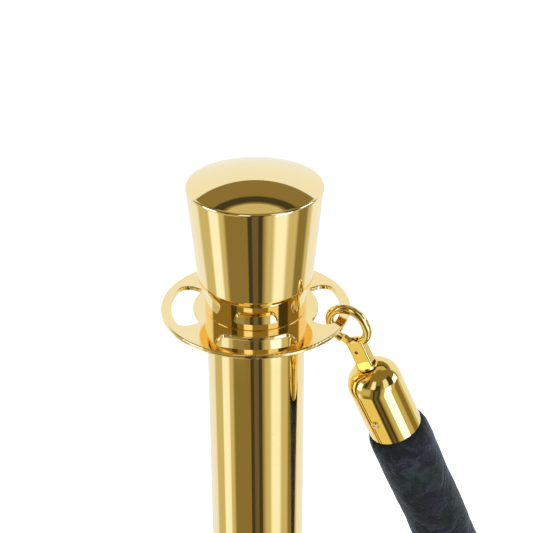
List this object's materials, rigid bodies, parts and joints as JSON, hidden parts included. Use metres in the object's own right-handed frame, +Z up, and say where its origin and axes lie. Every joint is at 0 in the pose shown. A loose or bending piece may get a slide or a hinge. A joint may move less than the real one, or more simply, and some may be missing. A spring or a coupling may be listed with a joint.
{
  "type": "rope barrier stanchion",
  "caption": "Polished metal barrier post on a weighted round base, with a flared crown, a slotted ring plate and a velvet rope ending in swivel snap hooks.",
  "frame": {"origin": "centre of the base on the floor", "axes": "+Z up along the post; -Y is the front; the rope leaves the ring plate towards +X"},
  "size_m": [0.4277, 0.3721, 0.95],
  "materials": {
    "finish_gold": "mirror polished, light gold",
    "hook_brass": "polished, warm yellow brass",
    "velvet": "crushed velvet, near-black navy",
    "rubber": "matt",
    "cast_iron": "as cast, painted",
    "steel": "zinc plated",
    "screw_brass": "plated screw",
    "core": "bound core"
  },
  "bodies": {
    "stanchion": {"floor_ring": "rubber", "base_weight": "cast_iron", "base_cover": "finish_gold", "post_flange": "finish_gold", "base_bolt": "steel", "base_washer": "steel", "base_spring_washer": "steel", "lower_plug": "steel", "upper_plug": "steel", "post_tube": "finish_gold", "ring_plate": "finish_gold", "neck_collar": "finish_gold", "crown_shell": "finish_gold", "crown_disc": "finish_gold", "crown_nut": "steel", "crown_stud": "steel", "rope": "velvet", "near_ferrule": "hook_brass", "near_ferrule_screws": "screw_brass", "near_rope_plug": "core", "far_ferrule": "hook_brass", "far_ferrule_screws": "screw_brass", "far_rope_plug": "core"},
    "near_hook": {"near_hook_body": "hook_brass", "near_gate_pin": "hook_brass", "near_gate_spring": "steel", "near_swivel_washer": "steel"},
    "near_gate": {"near_hook_gate": "hook_brass"},
    "far_hook": {"far_hook_body": "hook_brass", "far_gate_pin": "hook_brass", "far_gate_spring": "steel", "far_swivel_washer": "steel"},
    "far_gate": {"far_hook_gate": "hook_brass"}
  },
  "joints": [
    {"name": "near_hook_swivel", "type": "hinge", "parent": "stanchion", "child": "near_hook", "pos_m": [0.0465, -0.0105, 0.8704], "axis": [-0.382, -0.065, 0.9219], "range_deg": [-28, 28]},
    {"name": "near_gate_hinge", "type": "hinge", "parent": "near_hook", "child": "near_gate", "pos_m": [0.05255, -0.00893, 0.85371], "axis": [0.4017, 0.8867, 0.2289], "range_deg": [0, 24], "stiffness_Nm_per_rad": 0.02, "springref_deg": -20.05, "deforming": ["near_gate_spring"]},
    {"name": "far_hook_swivel", "type": "hinge", "parent": "stanchion", "child": "far_hook", "pos_m": [-0.21337, -0.06848, 0.0171], "axis": [-0.2099, -0.9777, 0], "continuous": true},
    {"name": "far_gate_hinge", "type": "hinge", "parent": "far_hook", "child": "far_gate", "pos_m": [-0.20876, -0.05127, 0.0171], "axis": [0, 0, -1], "range_deg": [0, 24], "stiffness_Nm_per_rad": 0.02, "springref_deg": -20.05, "deforming": ["far_gate_spring"]}
  ]
}
